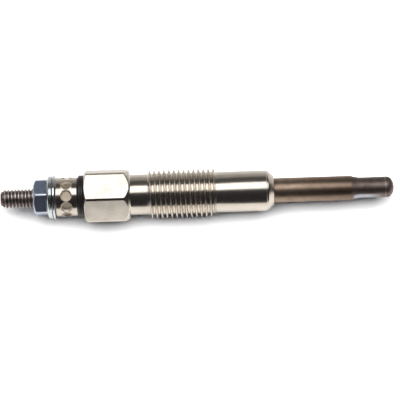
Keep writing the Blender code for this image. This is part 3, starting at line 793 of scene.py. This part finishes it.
# %% Turn the washer
WASHER_RADIUS, WASHER_HOLE, WASHER_ROUND = 4.45, 2.2, 0.14
washer_outline = rounded([
    (WASHER_START, WASHER_HOLE),
    (WASHER_START, WASHER_RADIUS, WASHER_ROUND),
    (WASHER_END, WASHER_RADIUS, WASHER_ROUND),
    (WASHER_END, WASHER_HOLE),
])
washer = skin("terminal_washer_piece", washer_outline, even_angles(128))
settle(washer, "terminal_washer", BRIGHT_ZINC)

# %% [markdown]
# Punched dimples
#
# The crimp ring is squeezed on the rod by a ring of flat-ended punches. Each
# leaves a flat floor, a steep wall and a soft rim. Cutting with a Boolean would
# leave sharp rims. Here a rule finds the nearest punch for each point of the
# ring and pushes the point down along that punch's own direction, as the tool
# does, and lifts a low lip round it. The bore is left alone.

# %% The rule of a row of punches
DIMPLE_SIZES = ["Middle", "Count", "Turn", "Radius", "Floor Radius", "Rim Radius", "Depth", "Lip"]
LIP_RISE, FACE_DEPTH = 0.18, 0.05


def dimple_tree(name, finish):
    """Build the tree that punches a row of round dimples into a ring."""
    tree = ShapeTree(name, DIMPLE_SIZES)
    given = tree.given
    x, _, _, radius, angle = tree.round_place()
    sector = math.tau / given["Count"]
    nearest = given["Turn"] + tree.math("ROUND", (angle - given["Turn"]) / sector) * sector
    across = radius * tree.math("SINE", angle - nearest)
    height = radius * tree.math("COSINE", angle - nearest)
    distance = tree.length(across, x - given["Middle"])
    wall = distance.between(given["Floor Radius"], given["Rim Radius"])
    sunk = (given["Radius"] - given["Depth"] - height) * (1 - wall)
    lip = (1 - abs((distance - given["Rim Radius"]) / given["Lip"])).most(0.0)
    push = sunk + lip * lip * given["Lip"] * LIP_RISE
    face = tree.math("GREATER_THAN", radius, given["Radius"] - given["Depth"] * FACE_DEPTH)
    offset = tree.vector(0.0, 0 - tree.math("SINE", nearest) * push, tree.math("COSINE", nearest) * push)
    tree.close(face, "Offset", offset, finish)
    return tree


print("a row of dimples is given by", len(DIMPLE_SIZES), "sizes")

# %% [markdown]
# Crimp ring
#
# The ring is turned first, with rounded ends and an even grid of points on its
# face, so that the dimples come out round wherever they fall. Ten punches fit
# the spacing of those that show.

# %% Turn and punch the crimp ring
RING_RADIUS, RING_BORE, RING_ROUND, FACE_STEPS = 3.95, 1.85, 0.22, 100
DIMPLE_COUNT, DIMPLE_TURN = 10, math.radians(18.7)
DIMPLE_RIM, DIMPLE_FLOOR, DIMPLE_DEPTH, DIMPLE_LIP = 1.18, 0.90, 0.60, 0.20


def ring_outline():
    """Return the ring's outline with many points along its outer face."""
    edge = rounded([
        (RING_START, RING_BORE),
        (RING_START, RING_RADIUS, RING_ROUND),
        (RING_END, RING_RADIUS, RING_ROUND),
        (RING_END, RING_BORE),
    ])
    middle = len(edge) // 2
    start, end = edge[middle - 1][0], edge[middle][0]
    stations = [start + (end - start) * index / FACE_STEPS for index in range(1, FACE_STEPS)]
    return edge[:middle] + [(station, RING_RADIUS) for station in stations] + edge[middle:]


ring = skin("crimp_ring_piece", ring_outline(), even_angles(400))
run_shape(ring, dimple_tree("dimple_punch", RING_NICKEL), {
    "Middle": AXIS_START + (RING_START + RING_END) / 2 * MM,
    "Count": DIMPLE_COUNT,
    "Turn": DIMPLE_TURN,
    "Radius": RING_RADIUS * MM,
    "Floor Radius": DIMPLE_FLOOR * MM,
    "Rim Radius": DIMPLE_RIM * MM,
    "Depth": DIMPLE_DEPTH * MM,
    "Lip": DIMPLE_LIP * MM,
})
settle(ring, "crimp_ring", RING_NICKEL)

# %% [markdown]
# Insulating bush
#
# The black flange has soft edges and a shallow groove round its middle, and
# its spigot goes on into the shell's counterbore. The groove could be cut
# later, but in a turned outline it is only three more corners.

# %% Turn the bush
BUSH_RADIUS, BUSH_FLANGE, BUSH_ROUND = 4.325, 1.14, 0.24
BUSH_GROOVE, GROOVE_HALF = 0.12, 0.10
BUSH_BORE, SPIGOT_RADIUS = 1.85, 3.15
FLANGE_MIDDLE = BUSH_START + BUSH_FLANGE / 2
FLANGE_END = BUSH_START + BUSH_FLANGE
bush_outline = rounded([
    (BUSH_START, BUSH_BORE),
    (BUSH_START, BUSH_RADIUS, BUSH_ROUND),
    (FLANGE_MIDDLE - GROOVE_HALF, BUSH_RADIUS, 0.06),
    (FLANGE_MIDDLE, BUSH_RADIUS - BUSH_GROOVE, 0.04),
    (FLANGE_MIDDLE + GROOVE_HALF, BUSH_RADIUS, 0.06),
    (FLANGE_END, BUSH_RADIUS, BUSH_ROUND),
    (FLANGE_END, SPIGOT_RADIUS),
    (BUSH_END, SPIGOT_RADIUS),
    (BUSH_END, BUSH_BORE),
])
bush = skin("insulating_bush_piece", bush_outline, even_angles(128))
settle(bush, "insulating_bush", BLACK_MOULDING)

# %% [markdown]
# Hexagon of the shell
#
# The shell is one piece of steel, skinned here in two overlapping parts. This
# is the first: a hexagon of drawn bar with round long edges, trimmed by a small
# chamfer at its near end and a larger one at its far end. Its counterbore
# takes the bush and the O-ring.

# %% Mill the hexagon
HEX_HALF_FLATS, HEX_LENGTH, HEX_TURN = 5.0, 9.2, math.pi / 6
HEX_EDGE_ROUND, HEX_CORNER = 0.58, 5.65
HEX_FACE, HEX_NEAR_CHAMFER, HEX_FAR_CHAMFER = 4.92, 0.48, 1.0
HEX_CHAMFER_ROUND, HEX_FACE_EDGE = 0.09, 0.05
COUNTERBORE, SHELL_BORE, HEX_INNER, HEX_INNER_END = 3.25, 2.6, 3.2, 3.6
HEX_END = SHELL_START + HEX_LENGTH
COUNTERBORE_END = stations_of("shell_o_ring")[1] + 0.1


def hexagon_rings(angles):
    """Return the hexagon's rings, close together at both chamfers."""
    flats = hexagon_radius(angles, HEX_TURN, HEX_HALF_FLATS, HEX_EDGE_ROUND)
    flats = np.minimum(flats, HEX_CORNER)
    rise = HEX_CORNER - HEX_FACE
    near, middle = np.linspace(0.0, 0.75, 26), np.linspace(0.9, HEX_LENGTH - 1.6, 14)
    far = HEX_LENGTH - np.linspace(1.5, 0.0, 40)
    rings = [(COUNTERBORE_END, COUNTERBORE), (SHELL_START, COUNTERBORE)]
    for depth in np.concatenate([near, middle, far]):
        near_cone = HEX_FACE + rise * depth / HEX_NEAR_CHAMFER
        far_cone = HEX_FACE + rise * (HEX_LENGTH - depth) / HEX_FAR_CHAMFER
        cone = np.full_like(flats, min(near_cone, far_cone))
        radius = soft_least(flats, cone, HEX_CHAMFER_ROUND)
        at_end = depth in (0.0, HEX_LENGTH)
        rings.append((SHELL_START + depth, radius - HEX_FACE_EDGE if at_end else radius))
    return rings + [(HEX_END, HEX_INNER_END), (HEX_END - 1.0, HEX_INNER), (COUNTERBORE_END, HEX_INNER)]


hex_angles = hexagon_angles(HEX_TURN, 24)
hexagon = skin("shell_hexagon_piece", hexagon_rings(hex_angles), hex_angles)
settle(hexagon, "shell", SHELL_NICKEL)

# %% [markdown]
# Round part of the shell
#
# The second part starts inside the hexagon and goes on as the neck, the thread,
# the barrel and the conical seat. The thread stands proud of both neck and
# barrel, as a rolled one does, and its rings are close. A fine groove and a low
# collar part the barrel from the seat.

# %% Turn the neck, thread, barrel and seat
NECK_RADIUS, NECK_LENGTH, NECK_FILLET = 4.135, 3.70, 0.35
INSIDE_LENGTH, INSIDE_RADIUS = 0.5, 3.3
THREAD_RADIUS, THREAD_ROOT, THREAD_PITCH, THREAD_LENGTH = 4.925, 4.21, 1.0, 13.85
THREAD_CREST, THREAD_RUN = 0.55, 0.35
BARREL_RADIUS, SEAT_RADIUS, SEAT_LENGTH, SEAT_ROUND = 4.165, 2.975, 1.41, 0.30
GROOVE_WIDTH, GROOVE_DEPTH, COLLAR_DEPTH, COLLAR_END_DEPTH = 0.12, 0.14, 0.06, 0.16
COLLAR_START, COLLAR_END = 0.06, 0.30
THREAD_START = HEX_END + NECK_LENGTH
THREAD_END = THREAD_START + THREAD_LENGTH
BARREL_END = SHELL_END - SEAT_LENGTH

neck = rounded([
    (COUNTERBORE_END, SHELL_BORE),
    (COUNTERBORE_END, INSIDE_RADIUS),
    (HEX_END - INSIDE_LENGTH, NECK_RADIUS + NECK_FILLET),
    (HEX_END, NECK_RADIUS + NECK_FILLET),
    (HEX_END, NECK_RADIUS, NECK_FILLET),
    (THREAD_START - 0.05, NECK_RADIUS),
])
barrel = rounded([
    (THREAD_END + 0.05, BARREL_RADIUS),
    (BARREL_END - GROOVE_WIDTH, BARREL_RADIUS, 0.04),
    (BARREL_END, BARREL_RADIUS - GROOVE_DEPTH),
    (BARREL_END + COLLAR_START, BARREL_RADIUS - COLLAR_DEPTH, 0.05),
    (BARREL_END + COLLAR_END, BARREL_RADIUS - COLLAR_END_DEPTH, 0.15),
    (SHELL_END, SEAT_RADIUS, SEAT_ROUND),
    (SHELL_END, SHELL_BORE),
])
close_rings = thread_rings(THREAD_START, THREAD_END, NECK_RADIUS, THREAD_PITCH, per_pitch=24)
shell_body = skin("shell_body_piece", neck + close_rings + barrel, even_angles(144))
run_shape(shell_body, thread_tree("shell_thread", SHELL_NICKEL), {
    "Start": AXIS_START + (THREAD_START + 0.01) * MM,
    "End": AXIS_START + (THREAD_END - 0.01) * MM,
    "Pitch": THREAD_PITCH * MM,
    "Crest Radius": THREAD_RADIUS * MM,
    "Root Radius": THREAD_ROOT * MM,
    "Crest Flat": 0.09,
    "Root Flat": 0.20,
    "Crest Station": AXIS_START + (THREAD_START + THREAD_CREST) * MM,
    "Start Radius": NECK_RADIUS * MM,
    "End Radius": BARREL_RADIUS * MM,
    "Run In": THREAD_RUN * MM,
    "Run Out": THREAD_RUN * MM,
})
settle(shell_body, "shell", SHELL_NICKEL)

# %% [markdown]
# Heater tube
#
# The tube is swaged from its full width to a waist in a curve that starts
# steep and flattens out. A square law gives that. Its closed tip is half an
# ellipse, and the same outline moved inward makes the inside of the wall.

# %% Swage the heater tube
SHEATH_RADIUS, SHEATH_WALL = 2.5, 0.5
WAIST_RADIUS, TIP_RADIUS = 2.075, 2.12
STRAIGHT_LENGTH, SWAGE_LENGTH, DOME_LENGTH = 15.7, 2.3, 1.44
SWAGE_START = SHELL_END + STRAIGHT_LENGTH
DOME_START = TIP_END - DOME_LENGTH


def tube_outline(inset):
    """Return the tube's outline from its open end to its tip, moved inward by an inset."""
    points = [(SHEATH_START, SHEATH_RADIUS - inset)]
    for share in np.linspace(0.0, 1.0, 15):
        radius = WAIST_RADIUS + (SHEATH_RADIUS - WAIST_RADIUS) * (1.0 - share) ** 2
        points.append((SWAGE_START + SWAGE_LENGTH * share, radius - inset))
    for angle in np.linspace(math.pi / 2, 0.0, 17):
        station = DOME_START + (DOME_LENGTH - inset) * math.cos(angle)
        points.append((station, (TIP_RADIUS - inset) * math.sin(angle)))
    return points


tube_rings = tube_outline(SHEATH_WALL)[::-1] + tube_outline(0.0)
tube = skin("sheath_tube_piece", tube_rings, even_angles(96), closed_loop=False)
settle(tube, "sheath_tube", HEATER_ALLOY)

# %% [markdown]
# Table
#
# The plug lies on a bright white page with a soft contact shadow, and its
# metal shows that page too. Light Path lets one sheet of paper play its parts
# without any more light on the plug: the camera sees it burnt out to white,
# and metal sees it bright near the plug and darker further off, which draws the
# pale lower bands and the dark ones above them. For light that has already
# bounced once, the sheet is nearly dark, or the shadow would be filled in. Far
# from the plug the camera sees a plain white that no shadow can grey.

# %% Lay the white table
PAGE_HALF = 1.5
PAGE_WHITE = (2.5, 2.5, 2.5, 1.0)
PAGE_SHINE = 1.74
PAGE_WARMTH = (1.0, 0.985, 0.955)
ALONG_SHARE = math.sqrt(0.15)
PLAIN_FROM, PLAIN_TO = 70.0, 130.0


def seen_by_metal(paper, path, x, y):
    """Return the page's colour for metal, which darkens away from the plug and behind it."""
    away = paper.length(x * ALONG_SHARE, y) / MM
    behind = (y / MM).between(2.0, 8.0)
    far_behind = (y / MM).between(12.0, 20.0)
    near_fade = away.between(4.0, 30.0) * 0.18
    far_fade = away.between(58.0, 98.0) * 1.36 * (1 - behind * 0.75)
    shine = (PAGE_SHINE - near_fade - far_fade) * (1 - behind * 0.20 - far_behind * 0.13)
    bounced = path["Diffuse Depth"].between(0.0, 1.0)
    shine = shine * (1 - bounced * 0.95)
    return paper.vector(*(shine * share for share in PAGE_WARMTH))


def flat_sheet(name, corners, material):
    """Make a four-cornered sheet that is part of the stage."""
    mesh = bpy.data.meshes.new(name)
    mesh.from_pydata(corners, [], [(0, 1, 2, 3)])
    mesh.materials.append(material)
    sheet = put(name, mesh)
    print("staged", name)
    return sheet


paper = Finish("white_paper")
paper.tree.nodes.remove(paper.shader)
path = paper.node("ShaderNodeLightPath")
x, y, _ = paper.axes()
colour = paper.blend(path["Is Camera Ray"], seen_by_metal(paper, path, x, y), PAGE_WHITE)
matt = paper.node("ShaderNodeBsdfDiffuse", None, {"Color": colour})["BSDF"]
plain = paper.node("ShaderNodeEmission", None, {"Color": WHITE, "Strength": 1.0})["Emission"]
far_off = path["Is Camera Ray"] * (paper.length(x, y) / MM).between(PLAIN_FROM, PLAIN_TO)
both = paper.node("ShaderNodeMixShader", None, {0: far_off, 1: matt, 2: plain})["Shader"]
paper.feed(paper.tree.nodes["Material Output"].inputs["Surface"], both)
signs = ((-1, -1), (1, -1), (1, 1), (-1, 1))
flat_sheet("table_top", [(PAGE_HALF * a, PAGE_HALF * b, 0.0) for a, b in signs], paper.material)

# %% [markdown]
# Lamps
#
# Polished metal shows the room. A long soft box hangs over the plug and a
# little behind it: its reflection is the white band along the barrel, so its
# two edges, as angles from straight up, come from the edges of that band. A
# fill beside it, which metal doesn't see, lights the page in front of the plug
# and gives the shadow its slope.

# %% Hang the soft box and the fill
LAMP_DISTANCE, LAMP_LENGTH, LAMP_GLOW = 0.60, 1.2, 1.9
FILL_EDGE, NEAR_EDGE, FAR_EDGE = -22.5, -9.0, 28.0


def soft_box(name, near, far):
    """Hang an area lamp over the axis, between two angles in degrees from straight up."""
    middle, half = math.radians(near + far) / 2, math.radians(far - near) / 2
    width = 2 * LAMP_DISTANCE * math.tan(half)
    lamp = bpy.data.lights.new(name, "AREA")
    lamp.shape = "RECTANGLE"
    lamp.size, lamp.size_y = LAMP_LENGTH, width
    lamp.energy = LAMP_GLOW * math.pi * LAMP_LENGTH * width
    box = put(name, lamp)
    direction = Vector((0.0, math.sin(middle), math.cos(middle)))
    box.location = Vector((0.0, 0.0, AXIS_HEIGHT)) + direction * LAMP_DISTANCE
    box.rotation_euler = (-middle, 0.0, 0.0)
    print(f"{name}: {width * 1000:.0f} mm wide, {lamp.energy:.2f} W")
    return box


soft_box("overhead_soft_box", NEAR_EDGE, FAR_EDGE)
front_fill = soft_box("front_fill", FILL_EDGE, NEAR_EDGE)
front_fill.visible_glossy = False

# %% [markdown]
# Back wall and room
#
# Behind the table stands a dim wall, brighter near its foot, and only metal
# sees it: it gives the upper sides of the barrel their soft grey. The rest of
# the room is nearly dark, which gives the dark bands that make metal look like
# metal. The camera sees white past the table's edge.

# %% Stand the wall and darken the room
WALL_HALF_WIDTH, WALL_PLACE, WALL_HEIGHT = 2.0, 0.8, 1.1
WALL_FOOT_GLOW, WALL_FADE, FADE_FROM, FADE_TO = 0.40, 0.33, 0.14, 0.55
WALL_WARMTH = (1.0, 0.98, 0.94)
ROOM_COLOUR = (0.026, 0.024, 0.028, 1.0)

paint = Finish("dim_wall", Base_Color=BLACK, Roughness=1.0, Emission_Strength=1.0)
glow = WALL_FOOT_GLOW - paint.axes()[2].between(FADE_FROM, FADE_TO) * WALL_FADE
dim = paint.done(Emission_Color=paint.vector(*(glow * share for share in WALL_WARMTH)))
foot = [(WALL_HALF_WIDTH * side, WALL_PLACE, 0.0) for side in (-1, 1)]
top = [(WALL_HALF_WIDTH * side, WALL_PLACE, WALL_HEIGHT) for side in (1, -1)]
back_wall = flat_sheet("back_wall", foot + top, dim)
back_wall.visible_camera = False
back_wall.visible_diffuse = False

world = bpy.data.worlds.new("dark_studio")
bpy.context.scene.world = world
world.use_nodes = True
room = NodeMaker(world.node_tree)
seen_by_camera = room.node("ShaderNodeLightPath")["Is Camera Ray"]
colour = room.blend(seen_by_camera, ROOM_COLOUR, WHITE)
room.feed(room.tree.nodes["Background"].inputs["Color"], colour)
print("room colour", ROOM_COLOUR[:3])

# %% [markdown]
# Camera
#
# The camera looks down at 67.7 degrees, which the widths of the hexagon's
# flats give away, and the plug rises two degrees to the right in the picture.
# The lens is long, but both ends are still seen a little from the middle, and
# that sets the distance. Everything is worked out in the photograph's own
# pixels, so the numbers can be read off it with a ruler.

# %% Place the camera
CAMERA_ELEVATION, CAMERA_ROLL = math.radians(67.7), math.radians(1.83)
PICTURE_WIDTH_PX, PX_PER_MM = 400.0, 4.90
CAMERA_DISTANCE_PX = 1700.0
AIM_PX, PLUG_MIDDLE_PX = (200.0, 200.0), (197.3, 192.8)
SENSOR_WIDTH_MM = 36.0
METRES_PER_PX = MM / PX_PER_MM

lens = bpy.data.cameras.new("camera")
lens.sensor_width = SENSOR_WIDTH_MM
lens.lens = SENSOR_WIDTH_MM * CAMERA_DISTANCE_PX / PICTURE_WIDTH_PX
lens.clip_start, lens.clip_end = 0.01, 10.0
camera = put("camera", lens)

back = Vector((0.0, -math.cos(CAMERA_ELEVATION), math.sin(CAMERA_ELEVATION)))
right = Vector((1.0, 0.0, 0.0))
up = back.cross(right)
view_right = right * math.cos(CAMERA_ROLL) - up * math.sin(CAMERA_ROLL)
view_up = right * math.sin(CAMERA_ROLL) + up * math.cos(CAMERA_ROLL)
aside = (PLUG_MIDDLE_PX[0] - AIM_PX[0]) * METRES_PER_PX
above = (AIM_PX[1] - PLUG_MIDDLE_PX[1]) * METRES_PER_PX
plug_middle = Vector(((cad_box[0].x + cad_box[1].x) / 2, 0.0, AXIS_HEIGHT))
aim = plug_middle - view_right * aside - view_up * above
camera.location = aim + back * CAMERA_DISTANCE_PX * METRES_PER_PX
camera.rotation_euler = Matrix((view_right, view_up, back)).transposed().to_euler()
bpy.context.scene.camera = camera
bpy.context.scene.view_settings.view_transform = "Standard"
print(f"lens {lens.lens:.0f} mm, {CAMERA_DISTANCE_PX * METRES_PER_PX:.3f} m from the plug")

# %% [markdown]
# Sizes and the finished model
#
# Last, the CAD model's box is printed.

# %% Print the CAD box
print("CAD box", [tuple(round(v / MM, 2) for v in c) for c in cad_box])
